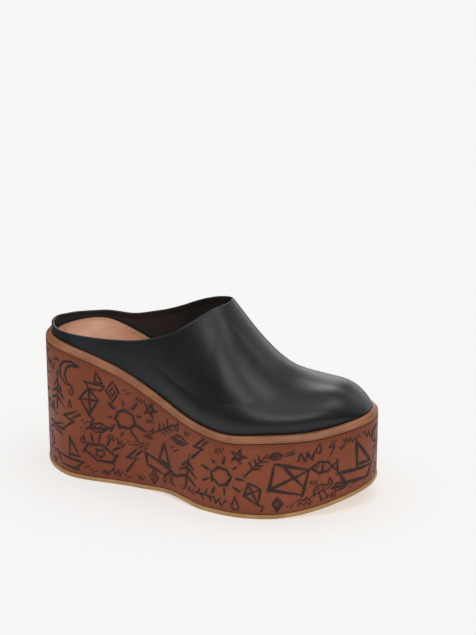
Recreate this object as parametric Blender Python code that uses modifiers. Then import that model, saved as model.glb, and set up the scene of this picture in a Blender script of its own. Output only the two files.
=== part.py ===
"""Wedge mule for the right foot: tan platform wedge, black leather upper open at the heel.

Metres, +Z up. The toe points along +X, the outer (lateral) side faces -Y, the floor is at z = 0.
The origin lies on the floor, midway along the sole's length and midway across its width.
"""

import math

import bpy
import numpy as np

MM = 0.001

# Sole outline
LENGTH = 255 * MM
BALL_WIDTH = 101.5 * MM
TOE_SWING = 10 * MM

# Heights over the floor of the wedge's top, at the heel and at the lowest place under the ball
HEEL_HEIGHT = 100 * MM
PLATFORM = 58 * MM

# Underside
HEEL_ROLL = 1.5 * MM
ARCH_RISE = 3.0 * MM
TOE_SPRING = 13.5 * MM
SOLE_THICKNESS = 3.2 * MM
SOLE_PROUD = 0.5 * MM

# Rand: the strip on the wedge's edge
RAND_HEIGHT = 5.3 * MM
RAND_WIDTH = 4.2 * MM

# Upper
WALL = 1.8 * MM
INSTEP_RISE = 79 * MM
COLLAR_REACH = 0.574
BULGE = 1.8 * MM
BULGE_HEIGHT = 22 * MM

# Insole
INSOLE_EDGE = 4.0 * MM
PAD_RISE = 1.2 * MM
PAD_BORDER = 6.5 * MM

# Room between pieces that meet
CLEARANCE = 0.3 * MM

STATIONS = 88
UPPER_ROWS = 14

# Shares of the length where the heel's round ends and the toe's round starts
HEEL_ROUND = 0.151
TOE_ROUND = 0.72
HEEL_POWER = 1.9
TOE_POWER_LATERAL = 2.23
TOE_POWER_MEDIAL = 2.5

# Sole outline: share of length, lateral and medial half width as shares of BALL_WIDTH
OUTLINE = (
    (0.00, 0.335, 0.365),
    (0.15, 0.369, 0.384),
    (0.38, 0.369, 0.355),
    (0.55, 0.512, 0.414),
    (0.68, 0.547, 0.453),
    (0.82, 0.473, 0.478),
    (1.00, 0.330, 0.399),
)

# Wedge top: share of length, share of the drop from HEEL_HEIGHT to PLATFORM that is still left
WEDGE_TOP = (
    (0.00, 1.000),
    (0.12, 1.000),
    (0.25, 0.774),
    (0.40, 0.357),
    (0.52, 0.119),
    (0.62, 0.000),
    (0.75, 0.036),
    (0.88, 0.048),
    (1.00, 0.155),
)

# Last of the upper: share of length, ridge height as a share of INSTEP_RISE
RIDGE = (
    (0.000, 0.756),
    (0.250, 0.965),
    (0.420, 1.190),
    (0.500, 1.176),
    (0.574, 0.995),
    (0.650, 0.705),
    (0.740, 0.380),
    (0.840, 0.300),
    (0.930, 0.300),
    (1.000, 0.080),
)

# Last of the upper: share of length, squareness of the section, ridge's shift to the medial side
# as a share of BALL_WIDTH
SECTION = (
    (0.00, 2.00, 0.00),
    (0.45, 1.99, 0.03),
    (0.62, 1.53, 0.045),
    (0.75, 2.02, 0.048),
    (0.88, 2.30, 0.038),
    (1.00, 2.10, 0.03),
)

# Collar from the back of the heel to the instep's peak: share of the way round, place along the
# upper as a share of COLLAR_REACH, and climb up the last's section in degrees, 90 at the ridge
COLLAR = (
    (0.0, 0.000, 6.1, 6.1),
    (0.1, 0.043, 5.7, 4.5),
    (0.2, 0.166, 6.2, 2.9),
    (0.3, 0.348, 9.9, 6.5),
    (0.4, 0.523, 15.8, 16.8),
    (0.5, 0.662, 24.0, 27.2),
    (0.6, 0.767, 33.3, 37.0),
    (0.7, 0.857, 45.6, 46.6),
    (0.8, 0.929, 59.9, 57.8),
    (0.9, 0.981, 75.6, 72.0),
    (1.0, 1.000, 90.0, 90.0),
)

# Rand's section: inset from the outline as a share of RAND_WIDTH, height as a share of RAND_HEIGHT
RAND_SECTION = (
    (0.15, 0.00),
    (0.06, 0.20),
    (0.07, 0.40),
    (0.17, 0.55),
    (0.29, 0.60),
    (0.36, 0.70),
    (0.46, 0.86),
    (0.66, 0.95),
    (1.00, 1.00),
    (1.00, 0.00),
)


def smooth(rows, column, at):
    """A table's column as a smooth curve over its first column."""
    table = np.asarray(rows, float)
    xs, ys = table[:, 0], table[:, column]
    at = np.clip(at, xs[0], xs[-1])
    slope = np.gradient(ys, xs)
    k = np.clip(np.searchsorted(xs, at, side="right") - 1, 0, len(xs) - 2)
    span = xs[k + 1] - xs[k]
    t = (at - xs[k]) / span
    start = (2 * t**3 - 3 * t**2 + 1) * ys[k] + (t**3 - 2 * t**2 + t) * span * slope[k]
    return start + (3 * t**2 - 2 * t**3) * ys[k + 1] + (t**3 - t**2) * span * slope[k + 1]


def stations(count):
    """Way round the outline as a share from heel to toe, and the side: -1 lateral, 1 medial."""
    turn = np.arange(count) / count * 2
    side = np.where(turn <= 1, -1, 1)
    return np.where(turn <= 1, turn, 2 - turn), side


def share_of(way):
    return (1 - np.cos(math.pi * way)) / 2


def round_end(share):
    """How far a place lies into the heel's or the toe's round, 0 to 1."""
    heel = (HEEL_ROUND - share) / HEEL_ROUND
    toe = (share - TOE_ROUND) / (1 - TOE_ROUND)
    return np.clip(np.maximum(heel, toe), 0, 1)


def power(share, side):
    toe = np.where(side < 0, TOE_POWER_LATERAL, TOE_POWER_MEDIAL)
    return np.where(share < 0.4, HEEL_POWER, toe)


def half_width(share, side):
    lateral = smooth(OUTLINE, 1, share)
    medial = smooth(OUTLINE, 2, share)
    return np.where(side < 0, lateral, medial) * BALL_WIDTH


def centre_line(share):
    return TOE_SWING * np.clip((share - 0.55) / 0.45, 0, 1) ** 2


def fullness(share, side):
    p = power(share, side)
    return (1 - round_end(share) ** p) ** (1 / p)


def middle_of_width():
    share = np.linspace(0, 1, 721)
    lateral = centre_line(share) - half_width(share, -1) * fullness(share, -1)
    medial = centre_line(share) + half_width(share, 1) * fullness(share, 1)
    return (lateral.min() + medial.max()) / 2


MIDDLE = middle_of_width()


def plan(share, across, inset):
    """Plan point at a signed share of the half width, on the outline moved in by inset."""
    side = np.where(across < 0, -1, 1)
    x = inset + share * (LENGTH - 2 * inset) - LENGTH / 2
    y = centre_line(share) + across * (half_width(share, side) - inset) - MIDDLE
    return x, y


def outline(inset, count=STATIONS):
    way, side = stations(count)
    share = share_of(way)
    x, y = plan(share, side * fullness(share, side), inset)
    return np.column_stack([x, y]), share


def shrink(loop, distance):
    """A closed plan outline moved inwards by a distance, along its normals."""
    along = np.roll(loop, -1, 0) - np.roll(loop, 1, 0)
    along /= np.linalg.norm(along, axis=1, keepdims=True)
    return loop + np.column_stack([-along[:, 1], along[:, 0]]) * distance


def wedge_top(share):
    return PLATFORM + (HEEL_HEIGHT - PLATFORM) * smooth(WEDGE_TOP, 1, share)


def underside(share):
    heel = HEEL_ROLL * np.clip(1 - share / 0.08, 0, 1) ** 2
    arch = ARCH_RISE * np.sin(math.pi * np.clip((share - 0.34) / 0.24, 0, 1)) ** 2
    toe = TOE_SPRING * np.clip((share - 0.76) / 0.24, 0, 1) ** 1.8
    return heel + arch + toe


def feather(share):
    """Height of the line where the upper leaves the rand."""
    return wedge_top(share) + RAND_HEIGHT


UPPER_INSET = RAND_WIDTH + CLEARANCE


def last_point(share, across):
    """Point on the upper's outside for a place in plan, across from -1 lateral to 1 medial."""
    side = np.where(across < 0, -1, 1)
    p = power(share, side)
    end = round_end(share)
    out = np.minimum((np.abs(across) ** p + end**p) ** (1 / p), 1)
    square = smooth(SECTION, 1, share)
    shift = smooth(SECTION, 2, share) * BALL_WIDTH
    x, y = plan(share, across, UPPER_INSET)
    y = y + shift * (fullness(share, side) - np.abs(across))
    crown = np.maximum(square, 2)
    rise = INSTEP_RISE * smooth(RIDGE, 1, share) * (1 - out**crown) ** (1 / square)
    return np.stack([x, y, feather(share) + rise], -1)


def collar_place(way, side):
    """The collar's place on the last: share of length and signed share of the half width."""
    table = np.asarray(COLLAR, float)
    own, other = (2, 3) if side < 0 else (3, 2)
    beyond = [2 - table[-2, 0], table[-2, 1], 180 - table[-2, other], 0]
    rows = np.vstack([table[:, [0, 1, own, 0]], beyond])
    share = COLLAR_REACH * smooth(rows, 1, way)
    climb = np.radians(smooth(rows, 2, way))
    out = np.clip(np.cos(climb), 0, 1)
    end = round_end(share)
    heel = share < HEEL_ROUND
    across = side * out * np.where(heel, fullness(share, side), 1)
    return np.where(heel, HEEL_ROUND * (1 - end * out), share), across


def upper_rows(count, rows):
    """The upper's outside as rows of points, from its foot on the wedge up to the collar."""
    way, side = stations(count)
    share = share_of(way)
    halves = []
    for half in (-1, 1):
        top, across_top = collar_place(way, half)
        across = half * fullness(share, half)
        climb = [(row / rows) ** 2 for row in range(rows + 1)]
        halves.append([last_point(share + (top - share) * c, across + (across_top - across) * c) for c in climb])
    grid = np.where((side < 0)[None, :, None], halves[0], halves[1])
    foot = grid[0]
    along = np.roll(foot, -1, 0) - np.roll(foot, 1, 0)
    along /= np.linalg.norm(along[:, :2], axis=1, keepdims=True)
    outward = np.column_stack([along[:, 1], -along[:, 0], np.zeros(count)])
    height = np.clip((grid[..., 2] - foot[None, :, 2]) / BULGE_HEIGHT, 0, 1)
    amount = BULGE * np.clip((share - 0.35) / 0.35, 0, 1)
    grid = grid + outward[None] * (amount[None] * 4 * height * (1 - height))[..., None]
    skirt = foot.copy()
    skirt[:, 2] = wedge_top(share) + 2 * CLEARANCE
    return np.concatenate([skirt[None], grid])


def material(name, colour, roughness):
    made = bpy.data.materials.new(name)
    made.use_nodes = True
    shader = made.node_tree.nodes["Principled BSDF"]
    shader.inputs["Base Color"].default_value = (*colour, 1)
    shader.inputs["Roughness"].default_value = roughness
    shader.inputs["Metallic"].default_value = 0.0
    return made


def across_faces(ring, up):
    """Faces from side to side over a closed ring of vertex numbers that starts at the heel."""
    n = len(ring)
    faces = [(ring[0], ring[1], ring[n - 1])]
    for k in range(1, n // 2 - 1):
        faces.append((ring[k], ring[k + 1], ring[n - k - 1], ring[n - k]))
    faces.append((ring[n // 2 - 1], ring[n // 2], ring[n // 2 + 1]))
    return faces if up else [face[::-1] for face in faces]


def add_object(name, points, faces, looks):
    mesh = bpy.data.meshes.new(name)
    mesh.from_pydata([tuple(p) for p in points], [], faces)
    mesh.update()
    mesh.materials.append(looks)
    mesh.shade_smooth()
    mesh.set_sharp_from_angle(angle=math.radians(40))
    made = bpy.data.objects.new(name, mesh)
    SHOE.objects.link(made)
    return made


def wall_faces(rings, count, closed):
    faces = []
    for r in range(rings if closed else rings - 1):
        low, high = r * count, (r + 1) % rings * count
        for k in range(count):
            after = (k + 1) % count
            faces.append((low + k, low + after, high + after, high + k))
    return faces


def loft(name, rings, looks, ring_shaped=False):
    """One solid from rings of points, foot to top: capped at both, or closed into a ring."""
    count = len(rings[0])
    faces = wall_faces(len(rings), count, ring_shaped)
    if not ring_shaped:
        last = (len(rings) - 1) * count
        faces += across_faces(list(range(count)), False)
        faces += across_faces(list(range(last, last + count)), True)
    return add_object(name, np.concatenate(rings), faces, looks)


def ring_at(inset, height_of, lift):
    loop, share = outline(inset)
    return np.column_stack([loop, height_of(share) + lift])


def outsole(looks):
    rows = (
        (1.0 * MM, 0.0),
        (-SOLE_PROUD, 0.25 * SOLE_THICKNESS),
        (-SOLE_PROUD, 0.75 * SOLE_THICKNESS),
        (0.0, SOLE_THICKNESS),
    )
    return loft("outsole", [ring_at(inset, underside, lift) for inset, lift in rows], looks)


def wedge(looks):
    foot = SOLE_THICKNESS + CLEARANCE
    rings = [
        ring_at(0.4 * MM, underside, foot),
        ring_at(0.0, underside, foot + 0.6 * MM),
        ring_at(0.0, wedge_top, -1.2 * MM),
        ring_at(0.35 * MM, wedge_top, -0.35 * MM),
        ring_at(1.2 * MM, wedge_top, 0.0),
    ]
    return loft("wedge", rings, looks)


def rand(looks):
    lift = RAND_HEIGHT - CLEARANCE
    rings = [ring_at(i * RAND_WIDTH, wedge_top, CLEARANCE + h * lift) for i, h in RAND_SECTION]
    return loft("rand", rings, looks, ring_shaped=True)


def insole(looks):
    edge, share = outline(UPPER_INSET)
    foot = wedge_top(share) + CLEARANCE
    inset = WALL + 2 * CLEARANCE
    rows = (
        (inset, 0.0),
        (inset, INSOLE_EDGE - 1.2 * MM),
        (inset + 0.8 * MM, INSOLE_EDGE - CLEARANCE),
        (inset + PAD_BORDER, INSOLE_EDGE - CLEARANCE),
        (inset + PAD_BORDER + 1.2 * MM, INSOLE_EDGE + 0.75 * PAD_RISE - CLEARANCE),
        (inset + PAD_BORDER + 3.2 * MM, INSOLE_EDGE + PAD_RISE - CLEARANCE),
    )
    rings = [np.column_stack([shrink(edge, inwards), foot + lift]) for inwards, lift in rows]
    return loft("insole", rings, looks)


def upper(looks):
    grid = upper_rows(STATIONS, UPPER_ROWS)
    faces = wall_faces(len(grid), STATIONS, False)
    made = add_object("upper", grid.reshape(-1, 3), faces, looks)
    shell = made.modifiers.new("Wall", "SOLIDIFY")
    shell.thickness = WALL
    shell.offset = -1
    shell.use_even_offset = True
    shell.use_rim = True
    return made


for old in list(bpy.data.objects):
    bpy.data.objects.remove(old, do_unlink=True)
SHOE = bpy.data.collections.new("wedge_mule")
bpy.context.scene.collection.children.link(SHOE)

outsole(material("gum_rubber", (0.39, 0.22, 0.08), 0.55))
wedge(material("tan_wedge_leather", (0.165, 0.052, 0.024), 0.42))
rand(material("tan_rand_leather", (0.24, 0.09, 0.035), 0.4))
insole(material("tan_insole_leather", (0.38, 0.17, 0.09), 0.5))
upper(material("black_upper_leather", (0.011, 0.013, 0.015), 0.36))
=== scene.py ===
"""Looks of the wedge mule: fine forms, leathers, carved marks, floor, light and camera.

Metres, +Z up, toe along +X, outer side of this right shoe towards -Y.
"""

import math

import bpy
import numpy as np
from mathutils import Euler, Matrix, Vector
from mathutils.geometry import delaunay_2d_cdt


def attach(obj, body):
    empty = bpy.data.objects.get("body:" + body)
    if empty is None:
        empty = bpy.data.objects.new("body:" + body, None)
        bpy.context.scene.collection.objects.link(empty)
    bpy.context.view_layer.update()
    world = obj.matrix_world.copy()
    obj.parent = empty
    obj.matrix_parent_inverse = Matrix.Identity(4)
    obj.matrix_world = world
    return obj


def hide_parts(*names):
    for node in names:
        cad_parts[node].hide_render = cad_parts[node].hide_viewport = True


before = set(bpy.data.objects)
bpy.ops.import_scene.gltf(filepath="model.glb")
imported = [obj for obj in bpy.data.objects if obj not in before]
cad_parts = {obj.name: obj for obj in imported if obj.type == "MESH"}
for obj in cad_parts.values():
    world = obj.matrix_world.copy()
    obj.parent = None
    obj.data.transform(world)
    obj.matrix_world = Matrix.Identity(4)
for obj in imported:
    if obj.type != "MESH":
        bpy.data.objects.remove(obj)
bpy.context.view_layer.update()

MM = 0.001

# The shoe's own sizes, as in its solids
LENGTH = 255 * MM
BALL_WIDTH = 101.5 * MM
TOE_SWING = 10 * MM
HEEL_HEIGHT = 100 * MM
PLATFORM = 58 * MM
HEEL_ROLL = 1.5 * MM
ARCH_RISE = 3.0 * MM
TOE_SPRING = 13.5 * MM
SOLE_THICKNESS = 3.2 * MM
SOLE_PROUD = 0.5 * MM
RAND_HEIGHT = 5.3 * MM
RAND_WIDTH = 4.2 * MM
WALL = 1.8 * MM
INSTEP_RISE = 79 * MM
COLLAR_REACH = 0.574
BULGE = 1.8 * MM
BULGE_HEIGHT = 22 * MM
INSOLE_EDGE = 4.0 * MM
PAD_RISE = 1.2 * MM
PAD_BORDER = 6.5 * MM
CLEARANCE = 0.3 * MM
UPPER_INSET = RAND_WIDTH + CLEARANCE
BULGE_FROM, BULGE_FADE = 0.35, 0.35

# The vamp's outer side is fuller than an even last: by how much, and where along and across it
SIDE_FULLNESS = 0.7
FULL_FROM, FULL_TO, FULL_FADE = 0.5, 0.985, 0.13
FULL_ACROSS = 0.4

# Collar stations lie close together at the back of the heel, as they do round the foot
CROWDED, CROWDING, CROWD_SHIFT, CROWD_FADE = 0.05, 10, 0.025, 0.3

HEEL_ROUND = 0.151
TOE_ROUND = 0.72
HEEL_POWER = 1.9
TOE_POWER_LATERAL = 2.23
TOE_POWER_MEDIAL = 2.5

# Sole outline: share of length, lateral and medial half width as shares of BALL_WIDTH
OUTLINE = (
    (0.00, 0.335, 0.365),
    (0.15, 0.369, 0.384),
    (0.38, 0.369, 0.355),
    (0.55, 0.512, 0.414),
    (0.68, 0.547, 0.453),
    (0.82, 0.473, 0.478),
    (1.00, 0.330, 0.399),
)

# Wedge top: share of length, share of the drop from HEEL_HEIGHT to PLATFORM that is still left
WEDGE_TOP = (
    (0.00, 1.000),
    (0.12, 1.000),
    (0.25, 0.774),
    (0.40, 0.357),
    (0.52, 0.119),
    (0.62, 0.000),
    (0.75, 0.036),
    (0.88, 0.048),
    (1.00, 0.155),
)

# Last of the upper: share of length, ridge height as a share of INSTEP_RISE
RIDGE = (
    (0.000, 0.756),
    (0.250, 0.965),
    (0.420, 1.190),
    (0.500, 1.176),
    (0.574, 0.995),
    (0.650, 0.705),
    (0.740, 0.380),
    (0.840, 0.300),
    (0.930, 0.300),
    (1.000, 0.080),
)

# Last of the upper: share of length, squareness of the section, ridge's shift to the medial side
SECTION = (
    (0.00, 2.00, 0.00),
    (0.45, 1.99, 0.03),
    (0.62, 1.53, 0.045),
    (0.75, 2.02, 0.048),
    (0.88, 2.30, 0.038),
    (1.00, 2.10, 0.03),
)

# Collar: share of the way round, share of COLLAR_REACH, lateral and medial climb in degrees
COLLAR = (
    (0.0, 0.000, 6.1, 6.1),
    (0.1, 0.043, 5.7, 4.5),
    (0.2, 0.166, 6.2, 2.9),
    (0.3, 0.348, 9.9, 6.5),
    (0.4, 0.523, 15.8, 16.8),
    (0.5, 0.662, 24.0, 27.2),
    (0.6, 0.767, 33.3, 37.0),
    (0.7, 0.857, 45.6, 46.6),
    (0.8, 0.929, 59.9, 57.8),
    (0.9, 0.981, 75.6, 72.0),
    (1.0, 1.000, 90.0, 90.0),
)

# Rand's section: inset as a share of RAND_WIDTH, height as a share of RAND_HEIGHT.
# The bead outside, the groove over it, the ledge that climbs to the upper.
RAND_SECTION = (
    (0.20, 0.00),
    (0.11, 0.05),
    (0.06, 0.14),
    (0.04, 0.26),
    (0.05, 0.38),
    (0.09, 0.48),
    (0.15, 0.545),
    (0.22, 0.575),
    (0.27, 0.575),
    (0.295, 0.60),
    (0.31, 0.65),
    (0.34, 0.715),
    (0.39, 0.79),
    (0.46, 0.86),
    (0.56, 0.915),
    (0.68, 0.955),
    (0.82, 0.98),
    (0.96, 0.99),
    (1.00, 0.97),
    (1.00, 0.00),
)


def smooth(rows, column, at):
    """A table's column as a smooth curve over its first column."""
    table = np.asarray(rows, float)
    xs, ys = table[:, 0], table[:, column]
    at = np.clip(at, xs[0], xs[-1])
    slope = np.gradient(ys, xs)
    k = np.clip(np.searchsorted(xs, at, side="right") - 1, 0, len(xs) - 2)
    span = xs[k + 1] - xs[k]
    t = (at - xs[k]) / span
    start = (2 * t**3 - 3 * t**2 + 1) * ys[k] + (t**3 - 2 * t**2 + t) * span * slope[k]
    return start + (3 * t**2 - 2 * t**3) * ys[k + 1] + (t**3 - t**2) * span * slope[k + 1]


def softened(rows, column, at, reach=0.028):
    """The same curve with its bends spread along it, so that light runs evenly over the last."""
    spread = np.linspace(-2, 2, 9)
    weight = np.exp(-(spread**2) / 2)
    at_toe = smooth(rows, column, 1.0)
    total = 0
    for step, part in zip(spread * reach, weight / weight.sum()):
        moved = np.asarray(at) + step
        past_toe = moved > 1
        value = smooth(rows, column, np.where(past_toe, 2 - moved, np.abs(moved)))
        total = total + part * np.where(past_toe, 2 * at_toe - value, value)
    return total


def ease(t):
    t = np.clip(t, 0, 1)
    return t * t * (3 - 2 * t)


def stations(count):
    """Way round the outline as a share from heel to toe, and the side: -1 lateral, 1 medial."""
    turn = np.arange(count) / count * 2
    side = np.where(turn <= 1, -1, 1)
    return np.where(turn <= 1, turn, 2 - turn), side


def share_of(way):
    return (1 - np.cos(math.pi * way)) / 2


def round_end(share):
    """How far a place lies into the heel's or the toe's round, 0 to 1."""
    heel = (HEEL_ROUND - share) / HEEL_ROUND
    toe = (share - TOE_ROUND) / (1 - TOE_ROUND)
    return np.clip(np.maximum(heel, toe), 0, 1)


def power(share, side):
    toe = np.where(side < 0, TOE_POWER_LATERAL, TOE_POWER_MEDIAL)
    return np.where(share < 0.4, HEEL_POWER, toe)


def half_width(share, side):
    lateral = smooth(OUTLINE, 1, share)
    medial = smooth(OUTLINE, 2, share)
    return np.where(side < 0, lateral, medial) * BALL_WIDTH


def centre_line(share):
    return TOE_SWING * np.clip((share - 0.55) / 0.45, 0, 1) ** 2


def fullness(share, side):
    p = power(share, side)
    return (1 - round_end(share) ** p) ** (1 / p)


def middle_of_width():
    share = np.linspace(0, 1, 721)
    lateral = centre_line(share) - half_width(share, -1) * fullness(share, -1)
    medial = centre_line(share) + half_width(share, 1) * fullness(share, 1)
    return (lateral.min() + medial.max()) / 2


MIDDLE = middle_of_width()


def plan(share, across, inset):
    """Plan point at a signed share of the half width, on the outline moved in by inset."""
    side = np.where(across < 0, -1, 1)
    x = inset + share * (LENGTH - 2 * inset) - LENGTH / 2
    y = centre_line(share) + across * (half_width(share, side) - inset) - MIDDLE
    return x, y


def outline(inset, count):
    way, side = stations(count)
    share = share_of(way)
    x, y = plan(share, side * fullness(share, side), inset)
    return np.column_stack([x, y]), share


def shrink(loop, distance):
    """A closed plan outline moved inwards by a distance, along its normals."""
    along = np.roll(loop, -1, 0) - np.roll(loop, 1, 0)
    along /= np.linalg.norm(along, axis=1, keepdims=True)
    return loop + np.column_stack([-along[:, 1], along[:, 0]]) * distance


def wedge_top(share):
    return PLATFORM + (HEEL_HEIGHT - PLATFORM) * smooth(WEDGE_TOP, 1, share)


def underside(share):
    heel = HEEL_ROLL * np.clip(1 - share / 0.08, 0, 1) ** 2
    arch = ARCH_RISE * np.sin(math.pi * np.clip((share - 0.34) / 0.24, 0, 1)) ** 2
    toe = TOE_SPRING * np.clip((share - 0.76) / 0.24, 0, 1) ** 1.8
    return heel + arch + toe


def last_point(share, across):
    """Point on the upper's outside for a place in plan, across from -1 lateral to 1 medial."""
    side = np.where(across < 0, -1, 1)
    p = power(share, side)
    end = round_end(share)
    out = np.minimum((np.abs(across) ** p + end**p) ** (1 / p), 1)
    fuller = ease((share - FULL_FROM) / FULL_FADE) * ease((FULL_TO - share) / FULL_FADE)
    fuller = fuller * ease(-across / FULL_ACROSS)
    square = softened(SECTION, 1, share) + SIDE_FULLNESS * fuller
    shift = softened(SECTION, 2, share) * BALL_WIDTH
    x, y = plan(share, across, UPPER_INSET)
    y = y + shift * (fullness(share, side) - np.abs(across))
    crown = np.maximum(square, 2)
    rise = INSTEP_RISE * softened(RIDGE, 1, share) * (1 - out**crown) ** (1 / square)
    return np.stack([x, y, wedge_top(share) + RAND_HEIGHT + rise], -1)


def collar_line(way, side):
    """The collar's reach along the last, and how far out it lies there."""
    table = np.asarray(COLLAR, float)
    own, other = (2, 3) if side < 0 else (3, 2)
    beyond = [2 - table[-2, 0], table[-2, 1], 180 - table[-2, other], 0]
    rows = np.vstack([table[:, [0, 1, own, 0]], beyond])
    climb = np.radians(smooth(rows, 2, way))
    return COLLAR_REACH * smooth(rows, 1, way), np.clip(np.cos(climb), 0, 1)


def on_side(reach, out, side):
    """Place on the last for a station at reach that has come in from the outline to out."""
    heel = reach < HEEL_ROUND
    across = side * out * np.where(heel, fullness(reach, side), 1)
    return np.where(heel, HEEL_ROUND * (1 - round_end(reach) * out), reach), across


def grid_normals(grid):
    """Outward normals of rows of closed rings that run from foot to top."""
    along = np.roll(grid, -1, 1) - np.roll(grid, 1, 1)
    up = np.gradient(grid, axis=0)
    normal = np.cross(along, up)
    return normal / np.maximum(np.linalg.norm(normal, axis=2, keepdims=True), 1e-12)


def upper_rows(count, rows):
    """The upper's outside from its foot on the wedge to the collar."""
    way, side = stations(count)
    share = share_of(way)
    spaced = way - CROWD_SHIFT * (1 - ease((way - CROWDED) / CROWD_FADE))
    near = np.where(way < CROWDED, CROWDING * way**2, spaced)
    halves = []
    for half in (-1, 1):
        reach, out_top = collar_line(near, half)
        top, across_top = on_side(reach, out_top, half)
        across = half * fullness(share, half)
        places = []
        for row in range(rows + 1):
            c = (row / rows) ** 2
            heel = on_side(share + (reach - share) * c, 1 + (out_top - 1) * c, half)
            front = share + (top - share) * c, across + (across_top - across) * c
            places.append(np.where(share < 0.5, heel, front))
        halves.append(np.array(places))
    place = np.where((side < 0)[None, None, :], halves[0], halves[1])
    grid = last_point(place[:, 0], place[:, 1])
    foot = grid[0]
    along = np.roll(foot, -1, 0) - np.roll(foot, 1, 0)
    along /= np.linalg.norm(along[:, :2], axis=1, keepdims=True)
    outward = np.column_stack([along[:, 1], -along[:, 0], np.zeros(count)])
    height = np.clip((grid[..., 2] - foot[None, :, 2]) / BULGE_HEIGHT, 0, 1)
    amount = BULGE * np.clip((share - BULGE_FROM) / BULGE_FADE, 0, 1)
    grid = grid + outward[None] * (amount[None] * 4 * height * (1 - height))[..., None]
    skirt = foot.copy()
    skirt[:, 2] = wedge_top(share) + 2 * CLEARANCE
    return np.concatenate([skirt[None], grid])


def columns_at(grid, lengths_of):
    """Rings at distances down from the top ring, measured along each column of the grid."""
    columns = grid[::-1].transpose(1, 0, 2)
    picked = []
    for column in columns:
        run = np.concatenate([[0], np.cumsum(np.linalg.norm(np.diff(column, axis=0), axis=1))])
        at = lengths_of(run[-1])
        picked.append(np.column_stack([np.interp(at, run, column[:, k]) for k in range(3)]))
    return np.array(picked).transpose(1, 0, 2)


# Meshes


def wall_faces(rings, count, closed=False):
    """Faces between rings of count points each; closed joins the last ring to the first."""
    faces = []
    for r in range(rings if closed else rings - 1):
        low, high = r * count, (r + 1) % rings * count
        for k in range(count):
            after = (k + 1) % count
            faces.append((low + k, low + after, high + after, high + k))
    return faces


def across_faces(ring, up):
    """Faces from side to side over a closed ring of vertex numbers that starts at the heel."""
    n = len(ring)
    faces = [(ring[0], ring[1], ring[n - 1])]
    for k in range(1, n // 2 - 1):
        faces.append((ring[k], ring[k + 1], ring[n - k - 1], ring[n - k]))
    faces.append((ring[n // 2 - 1], ring[n // 2], ring[n // 2 + 1]))
    return faces if up else [face[::-1] for face in faces]


def add_piece(name, points, faces, sharp):
    """A smooth-shaded piece, with hard edges where faces meet at more than sharp degrees."""
    mesh = bpy.data.meshes.new(name)
    mesh.from_pydata(np.asarray(points).tolist(), [], faces)
    mesh.update()
    mesh.shade_smooth()
    mesh.set_sharp_from_angle(angle=math.radians(sharp))
    piece = bpy.data.objects.new(name, mesh)
    bpy.context.scene.collection.objects.link(piece)
    return piece


def loft(name, rings, closed=False):
    """A piece skinned over rings; closed joins the last to the first, else the ends are covered."""
    count = len(rings[0])
    faces = wall_faces(len(rings), count, closed)
    if not closed:
        last = (len(rings) - 1) * count
        faces += across_faces(list(range(count)), False)
        faces += across_faces(list(range(last, last + count)), True)
    return add_piece(name, np.concatenate(rings), faces, 60)


def ring_at(inset, height_of, lift, count):
    loop, share = outline(inset, count)
    return np.column_stack([loop, height_of(share) + lift])


def arc(centre, radius, start, end, steps):
    """Points of a quarter-turn edge as (across, up) pairs, angles in degrees."""
    angles = np.radians(np.linspace(start, end, steps))
    return [(centre[0] + radius * math.cos(a), centre[1] + radius * math.sin(a)) for a in angles]


# Upper


# Rolled topline: angles round the roll, in degrees from the outside
ROLL_ANGLES = (25, 50, 75, 100, 125, 150, 172)

# Facing inside the collar: distance below the topline and extra thickness, in mm.
# After its first rings comes the step down to the lining.
FACING = (
    (0.9, 0.25),
    (2.0, 0.25),
    (3.2, 0.25),
    (4.25, 0.25),
    (4.5, 0.18),
    (4.62, 0.0),
    (4.8, 0.0),
)
FACING_RINGS = 5
LINING_RINGS = 26


def make_upper():
    """The hollow upper, and the kind of each face: 1 on the lining, 0 elsewhere."""
    count = 344
    outer = upper_rows(count, 76)
    top, out = outer[-1], grid_normals(outer)[-1]
    climb = top - outer[-2]
    climb /= np.linalg.norm(climb, axis=1, keepdims=True)
    below_top, thicker = np.array(FACING).T * MM
    half = (WALL + thicker[0]) / 2
    centre = top - out * half - climb * half * 0.6
    rim = [
        centre + out * half * math.cos(a) + climb * half * math.sin(a)
        for a in np.radians(ROLL_ANGLES)
    ]

    def lengths(total):
        rest = np.linspace(0, 1, LINING_RINGS + 1)[1:] ** 1.4
        return np.concatenate([below_top, below_top[-1] + (total - below_top[-1]) * rest])

    inner = columns_at(outer, lengths)
    thick = WALL + np.concatenate([thicker, np.zeros(LINING_RINGS)])
    inner = inner + grid_normals(inner) * thick[:, None, None]
    # the foot inside stays level with the foot outside
    inner[-1, :, 2] = outer[0, :, 2]
    rings = [*outer[:-1], top - climb * half * 0.9, *rim, *inner]
    faces = wall_faces(len(rings), count, closed=True)
    lining_from = (len(outer) + len(rim) + FACING_RINGS) * count
    kinds = np.array([min(face) >= lining_from for face in faces], np.int32)
    return add_piece("upper_leather", np.concatenate(rings), faces, 50), kinds


# Rand, insole, outsole


EDGE_POINTS = 400


def make_rand():
    lift = RAND_HEIGHT - CLEARANCE
    rings = [
        ring_at(inset * RAND_WIDTH, wedge_top, CLEARANCE + height * lift, EDGE_POINTS)
        for inset, height in RAND_SECTION
    ]
    return loft("rand_strip", rings, closed=True)


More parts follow.
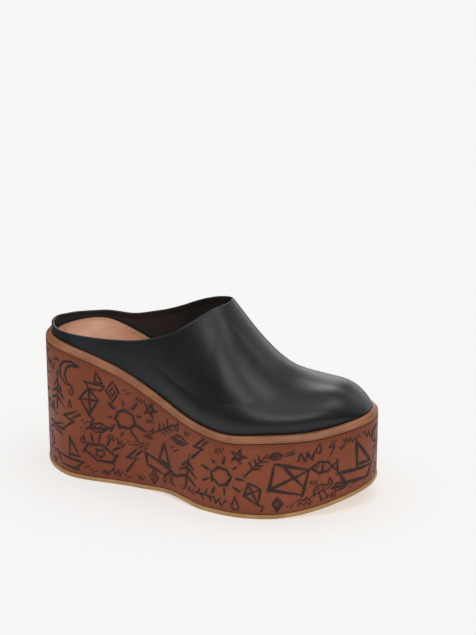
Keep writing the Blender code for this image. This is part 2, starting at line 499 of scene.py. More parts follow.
def make_insole():
    """The footbed: a rounded edge, a low border with a slight dip, and the raised pad."""
    edge, share = outline(UPPER_INSET, 320)
    foot = wedge_top(share) + CLEARANCE
    inset = WALL + 0.9 * MM
    top = INSOLE_EDGE - CLEARANCE
    rounding, dip = 1.2 * MM, 0.12 * MM
    rows = [(inset, 0.0), (inset, top - 1.3 * MM)]
    rows += [(inset + rounding - r, z) for r, z in arc((0, top - rounding), rounding, 15, 90, 6)]
    rows += [(inset + 2.4 * MM, top + 0.03 * MM), (inset + 4.5 * MM, top - 0.05 * MM)]
    start, end = inset + PAD_BORDER - 0.9 * MM, inset + PAD_BORDER + 2.6 * MM
    rows += [
        (start + (end - start) * t, top - dip + (PAD_RISE + dip) * float(ease(t)))
        for t in np.linspace(0, 1, 9)
    ]
    rows += [(end + 0.9 * MM, top + PAD_RISE + 0.03 * MM), (end + 1.9 * MM, top + PAD_RISE)]
    rings = [np.column_stack([shrink(edge, inwards), foot + lift]) for inwards, lift in rows]
    return loft("insole_leather", rings)


def make_outsole():
    """The gum sole, a little proud of the wall, with both its edges rounded."""
    thick, under, low_round, high_round = SOLE_THICKNESS, 1.6 * MM, 0.9 * MM, 0.6 * MM
    low_arc = arc((0, low_round), low_round, -75, 0, 6)
    high_arc = arc((0, thick - high_round), high_round, 0, 90, 5)
    rows = [(under, 0.0), (low_round, 0.02 * MM)]
    rows += [(-SOLE_PROUD + low_round - r, z) for r, z in low_arc]
    rows += [(-SOLE_PROUD + 0.05 * MM, 0.5 * thick), (-SOLE_PROUD, 0.62 * thick)]
    rows += [(-SOLE_PROUD + high_round - r, z) for r, z in high_arc]
    rows += [(under, thick)]
    rings = [ring_at(inset, underside, lift, EDGE_POINTS) for inset, lift in rows]
    return loft("outsole_gum", rings)


# Carved marks on the wedge's wall


def bow(count, radius, start=0.0, sweep=360.0, squash=1.0, at=(0.0, 0.0)):
    """Points along a part of a circle, angles in degrees."""
    angles = np.radians(start + sweep * np.arange(count + 1) / count)
    return [(at[0] + radius * math.cos(a), at[1] + radius * squash * math.sin(a)) for a in angles]


def spokes(count, near, far, start=0.0):
    """Straight cuts that point outwards, every second one shorter."""
    lines = []
    for k in range(count):
        a = math.radians(start + 360 * k / count)
        reach = far * (0.84 if k % 2 else 1)
        c, s = math.cos(a), math.sin(a)
        lines.append([(near * c, near * s), (reach * c, reach * s)])
    return lines


def petals(count, near, far, wide):
    """Pointed petals round a middle, each as its two bent sides."""
    lines = []
    for a in np.radians(12 + 360 * np.arange(count) / count):
        tip = np.array([math.cos(a), math.sin(a)])
        side = np.array([-math.sin(a), math.cos(a)])
        belly = tip * (near + far) / 2
        lines.append([tip * near, belly + side * wide, tip * far])
        lines.append([tip * far, belly - side * wide, tip * near])
    return lines


def chain(*points):
    """Straight cuts from point to point."""
    return [[a, b] for a, b in zip(points[:-1], points[1:])]


STAR = [(math.sin(a), math.cos(a)) for a in np.radians((0, 144, 288, 72, 216, 0))]

# Each mark as its cuts, lines of points in a square from -1 to 1
MARKS = {
    "star": chain(*STAR),
    "sun": chain(*bow(7, 0.46, 10)) + spokes(9, 0.66, 1.0, 8),
    "moon": [bow(6, 0.95, 62, 236), bow(5, 0.74, 78, 204, 1.1, (0.27, 0.0))],
    "coil": chain((-0.9, -0.75), (0.85, -0.8), (0.8, 0.8), (-0.7, 0.72), (-0.66, -0.35),
        (0.42, -0.4), (0.4, 0.35), (-0.25, 0.3), (-0.22, 0.0)),
    "waves": [[(-1 + 0.4 * k, y + (0.17 if k % 2 else -0.17)) for k in range(6)] for y in
        (-0.42, 0.2)],
    "saw": chain((-1.0, -0.4), (-0.62, 0.45), (-0.25, -0.42), (0.12, 0.42), (0.5, -0.4),
        (0.9, 0.45)),
    "leaf": [[(-1.0, -0.1), (-0.45, 0.44), (0.25, 0.46), (1.0, 0.05)], [(-1.0, -0.1),
        (-0.4, -0.46), (0.35, -0.4), (1.0, 0.05)], [(-1.25, -0.16), (0.72, 0.02)],
        [(-0.5, -0.08), (-0.22, 0.26)], [(0.0, -0.04), (0.3, 0.26)], [(-0.16, -0.06),
        (0.12, -0.32)]],
    "twig": chain((-1.0, -0.4), (0.0, 0.0), (1.0, 0.3)) + [[(-0.7, -0.28), (-0.62, 0.3)],
        [(-0.3, -0.1), (0.1, -0.6)], [(0.12, 0.04), (0.2, 0.62)], [(0.5, 0.16),
        (0.92, -0.26)]],
    "diamond": chain((0, 1), (0.64, 0), (0, -1), (-0.64, 0), (0, 1)) + chain((0, 0.42),
        (0.27, 0), (0, -0.42), (-0.27, 0), (0, 0.42)),
    "bolt": chain((0.3, 1.0), (-0.45, 0.06), (0.34, 0.14), (-0.34, -1.0)) + [[(0.62, 0.9),
        (0.16, 0.34)]],
    "peaks": chain((-1.15, -0.52), (-0.5, 0.55), (-0.1, -0.12)) + chain((-0.34, 0.12),
        (0.25, 0.9), (1.08, -0.5)) + [[(-1.25, -0.56), (1.2, -0.6)], [(0.02, 0.55),
        (0.5, 0.46)]],
    "fish": [[(-0.95, 0.0), (-0.4, 0.44), (0.2, 0.36), (0.9, -0.38)], [(-0.95, 0.0),
        (-0.4, -0.44), (0.2, -0.36), (0.9, 0.38)], [(0.9, -0.4), (0.9, 0.4)], [(-0.54, 0.04),
        (-0.42, 0.12)], [(-0.16, 0.34), (-0.1, -0.3)]],
    "crate": chain((-0.8, -0.62), (-0.76, 0.66), (0.82, 0.6), (0.78, -0.66), (-0.84, -0.6)) +
        [[(-0.72, -0.52), (0.74, 0.54)], [(-0.35, 0.58), (0.7, -0.24)]],
    "flower": petals(5, 0.22, 1.0, 0.29) + chain(*bow(4, 0.14)),
    "drop": [[(0.0, 1.0), (-0.5, -0.1), (-0.36, -0.74), (0.1, -0.9)], [(0.1, -0.9),
        (0.5, -0.5), (0.42, 0.05), (0.0, 1.0)]],
    "kite": chain((0, 1), (-0.6, 0.25), (0.05, -0.7), (0.62, 0.3), (0, 1)) + [[(0, 1),
        (0.05, -0.7)], [(-0.6, 0.25), (0.62, 0.3)]] + chain((0.05, -0.7), (0.32, -0.92),
        (0.12, -1.2)),
    "comet": chain(*bow(5, 0.3, 20, at=(-0.62, 0.1))) + [[(-0.26, 0.28), (0.95, 0.66)],
        [(-0.2, 0.08), (1.1, 0.2)], [(-0.28, -0.12), (0.92, -0.3)]],
    "fir": [[(0.0, 1.0), (0.03, -1.05)]] + [line for y, w in ((0.62, 0.34), (0.18, 0.52),
        (-0.3, 0.7)) for line in ([(0, y), (-w, y - 0.42)], [(0, y), (w, y - 0.4)])],
    "boat": chain((-0.95, -0.3), (-0.55, -0.85), (0.6, -0.82), (0.98, -0.28), (-1.0, -0.32)) +
        chain((0.0, -0.34), (0.02, 0.98), (0.72, -0.1), (0.06, -0.08)),
    "eye": [bow(4, 1.0, 200, -220, 0.62, (0, -0.12)), bow(4, 1.0, 160, 220, 0.6, (0, 0.12))] +
        chain(*bow(5, 0.24)) + [[(x * 0.62, 0.62 - abs(x) * 0.12), (x * 0.86, 1.0 - abs(x) *
        0.16)] for x in (-1, -0.35, 0.35, 1)],
    "plume": [[(-1.0, -0.72), (0.0, 0.0), (0.95, 0.78)]] + [line for t in (-0.3, 0.05, 0.4) for
        line in ([(t, t * 0.76), (t - 0.08, t * 0.76 + 0.5)], [(t, t * 0.76),
        (t + 0.46, t * 0.76 - 0.06)])],
    "shell": [bow(6, 0.95, -10, 200, 0.9, (0, -0.3))] + [[(0, -0.85), (0.84 * math.cos(a), 0.76
        * math.sin(a) - 0.3)] for a in np.radians((-6, 45, 90, 135, 186))],
    "cup": chain((-0.7, 0.7), (-0.5, -0.75), (0.4, -0.78), (0.6, 0.7), (-0.76, 0.68)) +
        [[(0.56, 0.42), (0.95, 0.3), (0.86, -0.2), (0.48, -0.3)], [(-0.25, 0.9), (-0.1, 1.15)],
        [(0.15, 0.9), (0.3, 1.15)]],
    "hut": chain((-0.7, -0.8), (-0.66, 0.1), (0.7, 0.08), (0.68, -0.84), (-0.78, -0.8)) +
        chain((-1.0, 0.02), (0.0, 0.92), (1.02, -0.02)) + chain((-0.16, -0.8), (-0.14, -0.3),
        (0.2, -0.3), (0.22, -0.8)),
    "cap": [bow(5, 0.85, 0, 180, 0.95, (0, 0.0)), [(-0.95, -0.04), (0.95, 0.02)]] +
        chain((-0.24, -0.05), (-0.3, -0.85), (0.34, -0.88), (0.24, -0.02)) + [[(-0.4, 0.3),
        (-0.25, 0.44)], [(0.2, 0.28), (0.4, 0.36)]],
    "bits": [[(x - 0.16, y - 0.1), (x + 0.16, y + 0.12)] for x, y in ((-0.75, 0.2),
        (0.0, -0.35), (0.7, 0.25))],
    "nick": [[(-0.9, -0.25), (0.9, 0.25)], [(-0.6, 0.3), (0.7, 0.72)]],
    "vees": chain((-0.9, 0.5), (-0.4, -0.4), (0.1, 0.5)) + chain((0.0, 0.2), (0.45, -0.6),
        (0.95, 0.3)),
}
BIG = ("peaks", "boat", "hut", "sun", "kite", "fir", "crate", "eye")
MIDDLING = ("star", "leaf", "moon", "fish", "flower", "bolt", "cup", "coil", "shell",
    "diamond", "comet", "cap", "plume", "boat", "fir", "sun", "kite", "twig", "saw")
SMALL = ("star", "drop", "bolt", "twig", "moon", "saw", "diamond", "waves", "leaf", "vees")
TINY = ("bits", "nick", "vees", "drop", "saw")


# Rounds of placing: kinds, least and most radius in mm, marks aimed at
ROUNDS = (
    (BIG, 17.0, 19.0, 9),
    (BIG, 13.5, 15.0, 12),
    (MIDDLING, 9.8, 12.0, 44),
    (MIDDLING, 7.6, 9.0, 70),
    (SMALL, 5.4, 6.8, 130),
    (TINY, 3.0, 4.2, 200),
)
TRIES = 140
SPACING = 0.87  # least distance between two marks, as a share of their radii together
FILL = 0.93  # half the mark's drawn square, as a share of its radius
UNLIKE_WITHIN = 55 * MM  # nearer marks than this are of other kinds, where there are enough

# The wedge's wall: heights of its turned foot and top, the top's rounding, the foot's rings
FOOT_GAP = 0.9 * MM
TOP_GAP = 1.1 * MM
TOP_ROUND = 0.9 * MM
FOOT_TURN = ((0.05 * MM, 0.55 * MM), (0.25 * MM, 0.2 * MM), (0.7 * MM, 0.0))
WALL_POINTS = 440
FINE_POINTS = 4800


class Wall:
    """The wedge's upright wall laid flat: run round it from the back of the heel, and height."""

    def __init__(self):
        fine, share = outline(0.0, FINE_POINTS)
        steps = np.linalg.norm(np.roll(fine, -1, 0) - fine, axis=1)
        self.run = np.concatenate([[0], np.cumsum(steps)])
        self.length = self.run[-1]
        self.loop = np.vstack([fine, fine[:1]])
        self.share = np.append(share, share[0])
        along = np.roll(fine, -1, 0) - np.roll(fine, 1, 0)
        along /= np.linalg.norm(along, axis=1, keepdims=True)
        out = np.column_stack([along[:, 1], -along[:, 0]])
        self.out = np.vstack([out, out[:1]])
        ticks = np.arange(WALL_POINTS) / WALL_POINTS * FINE_POINTS
        self.ticks = np.interp(ticks, np.arange(FINE_POINTS + 1), self.run)

    def at(self, table, run):
        run = np.mod(run, self.length)
        if table.ndim == 1:
            return np.interp(run, self.run, table)
        return np.column_stack([np.interp(run, self.run, column) for column in table.T])

    def low(self, run):
        return underside(self.at(self.share, run)) + SOLE_THICKNESS + CLEARANCE + FOOT_GAP

    def high(self, run):
        return wedge_top(self.at(self.share, run)) - TOP_GAP


def place_marks(wall):
    """Marks spread over the wall, large ones first: kind, run, height, radius and turn."""
    chance = np.random.default_rng(23)
    placed = []
    for kinds, least, most, count in ROUNDS:
        for _ in range(count):
            for _ in range(TRIES):
                run = chance.uniform(0, wall.length)
                radius = chance.uniform(least, most) * MM
                low = float(wall.low(run)) + radius * FILL + 0.8 * MM
                high = float(wall.high(run)) - radius * FILL - 1.4 * MM
                if high <= low or not radius < run - 1.5 * MM < wall.length - 2 * radius:
                    continue
                height = chance.uniform(low, high)
                apart = [math.hypot(run - mark[1], height - mark[2]) for mark in placed]
                if any(gap < SPACING * (radius + mark[3]) for gap, mark in zip(apart, placed)):
                    continue
                ends = run + radius * np.array([-0.9, 0.9])
                room = min((wall.high(ends) - height).min(), (height - wall.low(ends)).min())
                if room < radius * 0.8:
                    continue
                slope = float(wall.high(run + 6 * MM) - wall.high(run - 6 * MM)) / (12 * MM)
                near = [mark[0] for gap, mark in zip(apart, placed) if gap < UNLIKE_WITHIN]
                free = [kind for kind in kinds if kind not in near] or list(kinds)
                turn = math.atan(slope) * 0.7 + chance.normal(0, 0.16)
                kind = free[int(chance.integers(0, len(free)))]
                placed.append((kind, run, height, radius, turn))
                break
    return placed


def split_at_corners(spots):
    """A line of points as separate cuts, a new one at each sharp corner."""
    parts, start = [], 0
    for k in range(1, len(spots) - 1):
        before, after = spots[k] - spots[k - 1], spots[k + 1] - spots[k]
        bend = abs(math.atan2(before[0] * after[1] - before[1] * after[0], before @ after))
        if bend > math.radians(62):
            parts.append(spots[start : k + 1])
            start = k
    return parts + [spots[start:]]


def cut_lines(placed):
    """Each cut as a line of points on the flat wall, with its half width at each point."""
    chance = np.random.default_rng(7)
    cuts = []
    for kind, run, height, radius, turn in placed:
        c, s = math.cos(turn), math.sin(turn)
        width = float(np.clip(0.045 * radius + 0.46 * MM, 0.62 * MM, 1.2 * MM))
        width *= chance.uniform(0.88, 1.3)
        lines = [np.asarray(line, float) for line in MARKS[kind]]
        for spots in [part for line in lines for part in split_at_corners(line)]:
            spots = (spots + chance.normal(0, 0.03, spots.shape)) * radius * FILL
            first, last = spots[0] - spots[1], spots[-1] - spots[-2]
            spots[0] += first / np.linalg.norm(first) * chance.uniform(0.0, 0.5) * MM
            spots[-1] += last / np.linalg.norm(last) * chance.uniform(0.2, 1.1) * MM
            spots = spots @ np.array([[c, s], [-s, c]]) + (run, height)
            fine = [spots[0]]
            for a, b in zip(spots[:-1], spots[1:]):
                pieces = max(1, int(np.linalg.norm(b - a) / (2.6 * MM)))
                fine += [a + (b - a) * k / pieces for k in range(1, pieces + 1)]
            fine = np.array(fine)
            fine[1:-1] += chance.normal(0, 0.06 * MM, fine[1:-1].shape)
            t = np.linspace(0, 1, len(fine))
            taper = np.minimum(1, 0.72 + 1.6 * t) * (1 - 0.66 * t ** chance.uniform(1.4, 3.2))
            if chance.random() < 0.4:
                taper = taper[::-1]
            cuts.append((fine, width * taper * (1 + chance.normal(0, 0.06, len(fine)))))
    return cuts


def cut_outline(line, half):
    """The rim of a cut: both sides of its line, closed by blunt points."""
    along = np.gradient(line, axis=0)
    along /= np.maximum(np.linalg.norm(along, axis=1, keepdims=True), 1e-12)
    across = np.column_stack([-along[:, 1], along[:, 0]])
    left, right = line + across * half[:, None], line - across * half[:, None]
    head = line[0] - along[0] * half[0] * 0.9
    tail = line[-1] + along[-1] * half[-1] * 1.4
    return np.vstack([head, right, tail, left[::-1]])


def inside_cut(points, line, half):
    """How far inside a cut each point lies, negative outside."""
    best = np.full(len(points), -1.0)
    for a, b, ha, hb in zip(line[:-1], line[1:], half[:-1], half[1:]):
        step = b - a
        t = np.clip(((points - a) @ step) / max(step @ step, 1e-18), 0, 1)
        away = np.linalg.norm(points - (a + t[:, None] * step), axis=1)
        best = np.maximum(best, ha + (hb - ha) * t - away)
    return best


HALO = 0.7 * MM  # width of the scorched rim beside a cut
# painted shade: the wedge leather is darkened along the wall's foot and top
EDGE_SHADE_WIDTH = 2.5 * MM  # width of the darker edge along the wall's foot and top
CUT_DEPTH = 0.5 * MM
MESH_STEP, MESH_RUNG, MESH_MARGIN = 2.4 * MM, 4.0 * MM, 0.8 * MM
SEAM_STEPS = 26


def in_box(points, box):
    """Numbers of the points inside a box on the flat wall."""
    low, high = box
    return np.flatnonzero(((points > low) & (points < high)).all(axis=1))


def carve_wall(wall, cuts):
    """The flat wall as triangles that follow the rim and the middle of every cut.

    Gives its points and faces, which faces are carved, how far inside a cut each point lies,
    and the numbers of the points along its foot and its top. Its two ends share their points.
    """
    count, unit = WALL_POINTS, 1 / MM
    runs = np.append(wall.ticks, wall.length)
    low, high = wall.low(runs), wall.high(runs)
    verts = [(r * unit, z * unit) for row in (low, high) for r, z in zip(runs, row)]
    edges = [(k, k + 1) for k in range(count)]
    edges += [(count + 1 + k, count + 2 + k) for k in range(count)]
    seams = []
    for column in (0, count):
        seam = [column]
        for k in range(1, SEAM_STEPS):
            z = low[column] + (high[column] - low[column]) * k / SEAM_STEPS
            verts.append((runs[column] * unit, z * unit))
            seam.append(len(verts) - 1)
        seam.append(count + 1 + column)
        seams.append(seam)
        edges += list(zip(seam[:-1], seam[1:]))
    boxes = []
    for line, half in cuts:
        reach = half.max() + 1.8 * MM
        boxes.append((line.min(0) - reach, line.max(0) + reach))
        rim = cut_outline(line, half)
        first = len(verts)
        verts += [tuple(p * unit) for p in rim]
        edges += [(first + k, first + (k + 1) % len(rim)) for k in range(len(rim))]
        first = len(verts)
        verts += [tuple(p * unit) for p in line]
        edges += [(first + k, first + k + 1) for k in range(len(line) - 1)]
    # loose points between the cuts keep the triangles small
    grid = []
    for r in np.arange(MESH_STEP, wall.length - 2.0 * MM, MESH_STEP):
        bottom, top = float(wall.low(r)), float(wall.high(r))
        rungs = max(3, int((top - bottom) / MESH_RUNG))
        grid += [(r, bottom + (top - bottom) * k / rungs) for k in range(1, rungs)]
    grid += [tuple(p) for line, half in cuts for p in cut_outline(line, half + HALO)[::2]]
    grid = np.array(grid)
    keep = np.abs(grid[:, 0] - wall.length / 2) < wall.length / 2 - MESH_MARGIN
    keep &= grid[:, 1] > wall.low(grid[:, 0]) + MESH_MARGIN
    keep &= grid[:, 1] < wall.high(grid[:, 0]) - MESH_MARGIN
    for (line, half), box in zip(cuts, boxes):
        near = in_box(grid, box)
        keep[near[inside_cut(grid[near], line, half) > -0.8 * HALO]] = False
    verts += [tuple(p * unit) for p in grid[keep]]
    verts = [Vector(v) for v in verts]
    flat, _, faces, origin, _, _ = delaunay_2d_cdt(verts, edges, [], 0, 1e-5)
    flat = np.array([tuple(v) for v in flat]) * MM
    number = {source: new for new, sources in enumerate(origin) for source in sources}
    faces = np.array([face for face in faces if len(face) == 3])
    corners = flat[faces]
    middle = corners.mean(axis=1)
    one, two = corners[:, 1] - corners[:, 0], corners[:, 2] - corners[:, 0]
    turn = one[:, 0] * two[:, 1] - one[:, 1] * two[:, 0]
    faces[turn < 0] = faces[turn < 0][:, ::-1]
    kept = (middle[:, 1] > wall.low(middle[:, 0])) & (middle[:, 1] < wall.high(middle[:, 0]))
    kept &= np.abs(turn) > 1e-14
    faces, middle = faces[kept], middle[kept]
    inside = np.full(len(flat), -9 * MM)
    carved = np.zeros(len(faces), bool)
    for (line, half), box in zip(cuts, boxes):
        near = in_box(flat, box)
        inside[near] = np.maximum(inside[near], inside_cut(flat[near], line, half))
        near = in_box(middle, box)
        carved[near] |= inside_cut(middle[near], line, half) > 0
    same = np.arange(len(flat))
    for first, last in zip(*seams):
        same[number[last]] = number[first]
    foot = [int(same[number[k]]) for k in range(count)]
    head = [int(same[number[count + 1 + k]]) for k in range(count)]
    return flat, same[faces], carved, inside, foot, head


def make_wedge():
    """The leather-covered body with its carved wall, and the kind of each face: 1 in a cut."""
    wall = Wall()
    count = WALL_POINTS
    flat, faces, carved, inside, foot, head = carve_wall(wall, cut_lines(place_marks(wall)))
    sunk = np.where(inside > 0.05 * MM, np.minimum(inside, CUT_DEPTH) * 0.8, 0)
    place = wall.at(wall.loop, flat[:, 0])
    out = wall.at(wall.out, flat[:, 0])
    out /= np.linalg.norm(out, axis=1, keepdims=True)
    body = [np.column_stack([place - out * sunk[:, None], flat[:, 1]])]
    others = []

    def add_ring(inset, height_of, lift):
        first = sum(len(part) for part in body)
        body.append(ring_at(inset, height_of, lift, count))
        return list(range(first, first + count))

    def join(lower, upper):
        for k in range(count):
            after = (k + 1) % count
            others.append((lower[k], lower[after], upper[after], upper[k]))

    below = head
    for a in (22, 45, 68, 90):
        inset = TOP_ROUND * (1 - math.cos(math.radians(a)))
        ring = add_ring(inset, wedge_top, -TOP_GAP + TOP_ROUND * math.sin(math.radians(a)))
        join(below, ring)
        below = ring
    ring = add_ring(3.0 * MM, wedge_top, 0.0)
    join(below, ring)
    others += across_faces(ring, True)
    above = foot
    for inset, lift in FOOT_TURN:
        ring = add_ring(inset, underside, SOLE_THICKNESS + CLEARANCE + lift)
        join(ring, above)
        above = ring
    others += across_faces(above, False)

    every = [tuple(int(v) for v in face) for face in faces] + others
    points = np.concatenate(body)
    used = np.zeros(len(points), bool)
    used[np.unique(np.concatenate([np.ravel(face) for face in every]))] = True
    number = np.cumsum(used) - 1
    every = [tuple(int(number[v]) for v in face) for face in every]
    piece = add_piece("wedge_leather", points[used], every, 40)
    kinds = np.zeros(len(every), np.int32)
    kinds[: len(faces)] = carved

    # how burnt the leather is, 1 at a cut's rim, and the painted shade at the wall's foot and top, 1
    # at its edges
    scorch = np.zeros(len(points))
    scorch[: len(flat)] = np.clip(1 + inside / HALO, 0, 1)
    border = np.ones(len(points))
    gap = np.minimum(flat[:, 1] - wall.low(flat[:, 0]), wall.high(flat[:, 0]) - flat[:, 1])
    border[: len(flat)] = np.clip(1 - gap / EDGE_SHADE_WIDTH, 0, 1)
    for name, values in (("scorch", scorch), ("border", border)):
        layer = piece.data.attributes.new(name, "FLOAT", "POINT")
        layer.data.foreach_set("value", values[used])

    # the leather between the cuts is lit as one smooth wall, whatever its triangles
    mesh = piece.data
    corner = np.empty(len(mesh.loops) * 3, np.float32)
    mesh.corner_normals.foreach_get("vector", corner)
    corner = corner.reshape(-1, 3)
    plain = np.flatnonzero(~carved)
    rows = (plain[:, None] * 3 + np.arange(3)).ravel()
    corner[rows] = np.column_stack([out, np.zeros(len(out))])[faces[plain].ravel()]
    mesh.normals_split_custom_set(corner.tolist())
    return piece, kinds


# Finishes


class Grade:
    """A shader socket that takes part in sums: an operator adds the Math node that does it."""

    def __init__(self, nodes, socket):
        self.nodes, self.socket = nodes, socket

    def math(self, operation, *terms):
        sockets = dict(enumerate(terms))
        return self.nodes.node("ShaderNodeMath", {"operation": operation}, sockets)

    def __add__(self, other):
        return self.math("ADD", self, other)

    def __sub__(self, other):
        return self.math("SUBTRACT", self, other)

    def __rsub__(self, other):
        return self.math("SUBTRACT", other, self)

    def __mul__(self, other):
        return self.math("MULTIPLY", self, other)

    def __pow__(self, other):
        return self.math("POWER", self, other)

    def between(self, low, high):
        """0 below low, 1 above high, smooth between."""
        sockets = {"Value": self, "From Min": low, "From Max": high}
        return self.nodes.node("ShaderNodeMapRange", {"interpolation_type": "SMOOTHSTEP"}, sockets)

    __radd__ = __add__
    __rmul__ = __mul__


class Nodes:
    """A node tree, and the one way in which a node is added to it."""

    def __init__(self, tree):
        self.tree = tree

    def feed(self, target, value):
        if isinstance(value, Grade):
            self.tree.links.new(value.socket, target)
        else:
            target.default_value = value

    def node(self, kind, settings, sockets, output=0):
        made = self.tree.nodes.new(kind)
        for name, value in settings.items():
            setattr(made, name, value)
        for name, value in sockets.items():
            self.feed(made.inputs[name], value)
        return Grade(self, made.outputs[output])


class Finish(Nodes):
    """A material being made, with its shader."""

    def __init__(self, name, **constants):
        self.material = bpy.data.materials.new(name)
        self.material.use_nodes = True
        super().__init__(self.material.node_tree)
        self.shader = self.tree.nodes["Principled BSDF"]
        self.set(**constants)

    def place(self):
        return self.node("ShaderNodeTexCoord", {}, {}, "Object")

    def layer(self, name):
        return self.node("ShaderNodeAttribute", {"attribute_name": name}, {}, "Fac")

    def noise(self, scale, detail=2.0, rough=0.5, stretch=(1, 1, 1)):
        where = self.node("ShaderNodeMapping", {}, {"Vector": self.place(), "Scale": stretch})
        sockets = {"Vector": where, "Scale": scale, "Detail": detail, "Roughness": rough}
        return self.node("ShaderNodeTexNoise", {}, sockets)

    def cells(self, scale):
        settings, sockets = {"feature": "DISTANCE_TO_EDGE"}, {"Vector": self.place(), "Scale": scale}
        return self.node("ShaderNodeTexVoronoi", settings, sockets)

    def mix(self, amount, first, second):
        sockets = {0: amount, 6: first, 7: second}
        return self.node("ShaderNodeMix", {"data_type": "RGBA"}, sockets, 2)

    def bump(self, height, distance, strength=1.0, under=None):
        sockets = {"Height": height, "Distance": distance, "Strength": strength}
        if under:
            sockets["Normal"] = under
        return self.node("ShaderNodeBump", {}, sockets)

    def set(self, **sockets):
        for name, value in sockets.items():
            self.feed(self.shader.inputs[name.replace("_", " ")], value)
        return self.material


def black_leather():
    made = Finish("black_calf", Specular_IOR_Level=0.36, Coat_Weight=0.15, Coat_Roughness=0.3)
    cloud = made.noise(38, 3, 0.55)
    grain = made.cells(1500).between(0.0, 0.35)
    pores = made.noise(2600, 2, 0.6)
    wrinkle = made.noise(420, 3, 0.6, (1.0, 0.55, 0.8))
    colour = made.mix(
        cloud.between(0.35, 0.7), (0.0040, 0.0052, 0.0070, 1), (0.0064, 0.0078, 0.0100, 1)
    )
    skin = made.bump(grain * 0.5 + pores * 0.5, 0.00008, 0.35)
    skin = made.bump(wrinkle, 0.00012, 0.22, skin)
    rough = 0.36 + cloud * 0.08 + pores * 0.05
    return made.set(Base_Color=colour, Roughness=rough, Normal=skin)


def lining_leather():
    made = Finish("black_lining", Specular_IOR_Level=0.5)
    cloud = made.noise(60, 3, 0.6)
    grain = made.noise(1400, 3, 0.6)
    colour = made.mix(
        cloud.between(0.3, 0.75), (0.009, 0.0115, 0.0155, 1), (0.015, 0.0180, 0.0230, 1)
    )
    skin = made.bump(grain, 0.00012, 0.4)
    return made.set(Base_Color=colour, Roughness=0.4 + cloud * 0.1, Normal=skin)


def wedge_leather():
    made = Finish("tan_wedge_cover", Specular_IOR_Level=0.2)
    broad = made.noise(16, 3, 0.55)
    patch = made.noise(75, 4, 0.62)
    grain = made.cells(1150).between(0.0, 0.4)
    fine = made.noise(1900, 2, 0.6)
    deep = made.mix(broad.between(0.3, 0.72), (0.185, 0.042, 0.0175, 1), (0.238, 0.061, 0.0275, 1))
    deep = made.mix(patch.between(0.52, 0.8) * 0.4, deep, (0.150, 0.036, 0.0170, 1))
    # scorched rims beside the cuts, and painted shade along the wall's foot and top
    scorch_and_edge_shade = made.layer("scorch") ** 1.6 * 0.42 + made.layer("border") * 0.3
    colour = made.mix(scorch_and_edge_shade, deep, (0.085, 0.022, 0.0105, 1))
    skin = made.bump(grain * 0.6 + fine * 0.4, 0.00010, 0.4)
    skin = made.bump(patch, 0.0004, 0.12, skin)
    rough = 0.36 + patch * 0.12 + fine * 0.04
    return made.set(Base_Color=colour, Roughness=rough, Normal=skin)


def carved_leather():
    made = Finish("burnt_cut", Specular_IOR_Level=0.3)
    patch = made.noise(260, 3, 0.6)
    grit = made.noise(1600, 3, 0.65)
    colour = made.mix(
        patch.between(0.3, 0.75), (0.020, 0.0088, 0.0072, 1), (0.046, 0.0180, 0.0125, 1)
    )
    skin = made.bump(grit, 0.0002, 0.4)
    return made.set(Base_Color=colour, Roughness=0.52 + patch * 0.16, Normal=skin)


def rand_leather():
    made = Finish("tan_rand", Specular_IOR_Level=0.45, Coat_Roughness=0.3)
    patch = made.noise(55, 4, 0.6, (1.0, 1.0, 2.2))
    fine = made.noise(1700, 2, 0.6)
    colour = made.mix(
        patch.between(0.32, 0.72), (0.215, 0.075, 0.030, 1), (0.300, 0.118, 0.050, 1)
    )
    skin = made.bump(fine, 0.00010, 0.35)
    return made.set(Base_Color=colour, Roughness=0.36 + patch * 0.12, Normal=skin, Coat_Weight=0.1)


def insole_leather():
    made = Finish("tan_insole", Specular_IOR_Level=0.4)
    cloud = made.noise(34, 3, 0.55)
    patch = made.noise(120, 4, 0.6)
    grain = made.cells(900).between(0.0, 0.4)
    base = made.mix(cloud.between(0.3, 0.7), (0.400, 0.175, 0.092, 1), (0.480, 0.245, 0.148, 1))
    colour = made.mix(patch.between(0.5, 0.85) * 0.35, base, (0.300, 0.120, 0.058, 1))
    skin = made.bump(grain * 0.7 + patch * 0.3, 0.00014, 0.45)
    return made.set(Base_Color=colour, Roughness=0.42 + patch * 0.12, Normal=skin)


def gum_rubber():
    made = Finish("gum_rubber", Specular_IOR_Level=0.4)
    cloud = made.noise(60, 3, 0.55)
    fine = made.noise(1500, 3, 0.6)
    colour = made.mix(cloud.between(0.3, 0.7), (0.330, 0.175, 0.062, 1), (0.430, 0.250, 0.100, 1))
    skin = made.bump(fine, 0.00012, 0.4)
    return made.set(Base_Color=colour, Roughness=0.48 + cloud * 0.1, Normal=skin)


def pale_floor():
    made = Finish("pale_floor", Specular_IOR_Level=0.0, Emission_Strength=1.0)
    grain = made.noise(3.0, 2, 0.5)
    colour = made.mix(grain, (0.86, 0.855, 0.845, 1), (0.875, 0.87, 0.86, 1))
    made.set(Emission_Color=(0.53, 0.528, 0.520, 1))
    return made.set(Base_Color=colour, Roughness=0.9)


def dress(piece, kinds, *finishes):
    for finish in finishes:
        piece.data.materials.append(finish)
    if kinds is not None:
        piece.data.polygons.foreach_set("material_index", kinds)
        piece.data.update()


# The shoe

upper, upper_kinds = make_upper()
dress(upper, upper_kinds, black_leather(), lining_leather())
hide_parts("upper")

wedge, wedge_kinds = make_wedge()
dress(wedge, wedge_kinds, wedge_leather(), carved_leather())
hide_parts("wedge")

rand = make_rand()
dress(rand, None, rand_leather())
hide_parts("rand")

insole = make_insole()
dress(insole, None, insole_leather())
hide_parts("insole")

outsole = make_outsole()
dress(outsole, None, gum_rubber())
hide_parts("outsole")

for piece in (upper, wedge, rand, insole, outsole):
    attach(piece, "root")

# Floor, light and camera


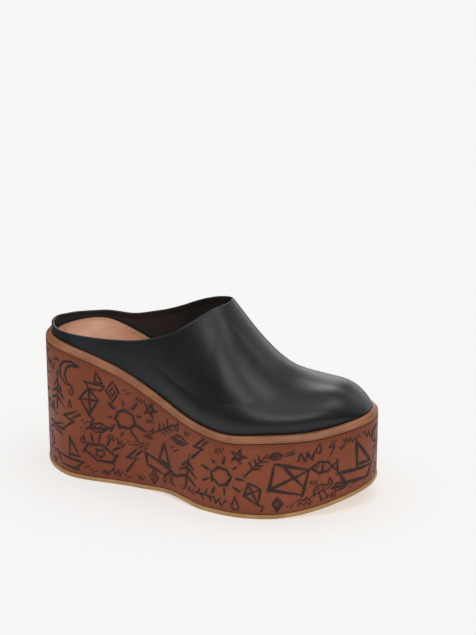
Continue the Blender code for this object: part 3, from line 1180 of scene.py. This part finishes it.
def add_floor(name, near, far, finish):
    """A square frame of floor between two half widths, whole where near is 0."""
    outer = [(-far, -far, 0), (far, -far, 0), (far, far, 0), (-far, far, 0)]
    inner = [(-near, -near, 0), (near, -near, 0), (near, near, 0), (-near, near, 0)]
    faces = [(k, (k + 1) % 4, 4 + (k + 1) % 4, 4 + k) for k in range(4)]
    mesh = bpy.data.meshes.new(name)
    mesh.from_pydata(outer + inner if near else outer, [], faces if near else [(0, 1, 2, 3)])
    mesh.materials.append(finish)
    plane = bpy.data.objects.new(name, mesh)
    bpy.context.scene.collection.objects.link(plane)
    return plane


pale = pale_floor()
add_floor("table", 0, 0.3, pale)
# the room beyond the lit table is dim in the shoe's gloss
add_floor("table_beyond", 0.3, 8, pale).visible_glossy = False

world = bpy.data.worlds.new("studio")
bpy.context.scene.world = world
world.use_nodes = True
sky = world.node_tree.nodes["Background"]
sky.inputs["Color"].default_value = (1, 1, 1, 1)
# dim towards the horizon, bright overhead
air = Nodes(world.node_tree)
direction = air.node("ShaderNodeTexCoord", {}, {}, "Generated")
upwards = air.node("ShaderNodeSeparateXYZ", {}, {"Vector": direction}, "Z")
glow = {"Value": upwards, "From Min": 0.62, "From Max": 1.0, "To Min": 0.10, "To Max": 1.20}
air.feed(sky.inputs["Strength"], air.node("ShaderNodeMapRange", {}, glow))

# The panels light the shoe alone, so the table keeps only the soft shadow under the sky
shoe = bpy.data.collections.new("shoe")
for piece in (upper, wedge, rand, insole, outsole):
    shoe.objects.link(piece)

PANEL_AWAY = 3
PANEL_AIM = Vector((0, 0, 0.07))


def panel(name, azimuth, elevation, width, height, radiance):
    """A lit panel facing the shoe; its place and size are angles in degrees."""
    away = Vector((1, 0, 0))
    away.rotate(Euler((0, -math.radians(elevation), math.radians(azimuth))))
    lamp = bpy.data.lights.new(name, "AREA")
    lamp.shape = "RECTANGLE"
    lamp.size = 2 * PANEL_AWAY * math.tan(math.radians(width / 2))
    lamp.size_y = 2 * PANEL_AWAY * math.tan(math.radians(height / 2))
    lamp.energy = math.pi * lamp.size * lamp.size_y * radiance
    holder = bpy.data.objects.new(name, lamp)
    bpy.context.scene.collection.objects.link(holder)
    holder.location = away * PANEL_AWAY + PANEL_AIM
    holder.rotation_euler = away.to_track_quat("Z", "Y").to_euler()
    holder.visible_camera = False
    holder.light_linking.receiver_collection = shoe


panel("key", -52, 34, 44, 28, 3.3)
panel("toe_key", 22, 50, 30, 24, 2.8)
panel("left", -150, 50, 36, 36, 2.6)
panel("back", 80, 7, 60, 17, 1.9)
panel("rim", 108, 19, 24, 22, 1.9)

camera = bpy.data.cameras.new("camera")
camera.lens, camera.sensor_width = 116.09, 36
camera.clip_start = 0.05
view = bpy.data.objects.new("camera", camera)
bpy.context.scene.collection.objects.link(view)
turn, tilt = math.radians(20.544), math.radians(22.154)
right = Vector((math.cos(turn), math.sin(turn), 0))
back = Vector((right.y * math.cos(tilt), -right.x * math.cos(tilt), math.sin(tilt)))
facing = Matrix((right, back.cross(right), back)).transposed().to_4x4()
view.matrix_world = Matrix.Translation((0.50722, -1.28512, 0.69217)) @ facing
bpy.context.scene.camera = view
bpy.context.scene.view_settings.view_transform = "Standard"
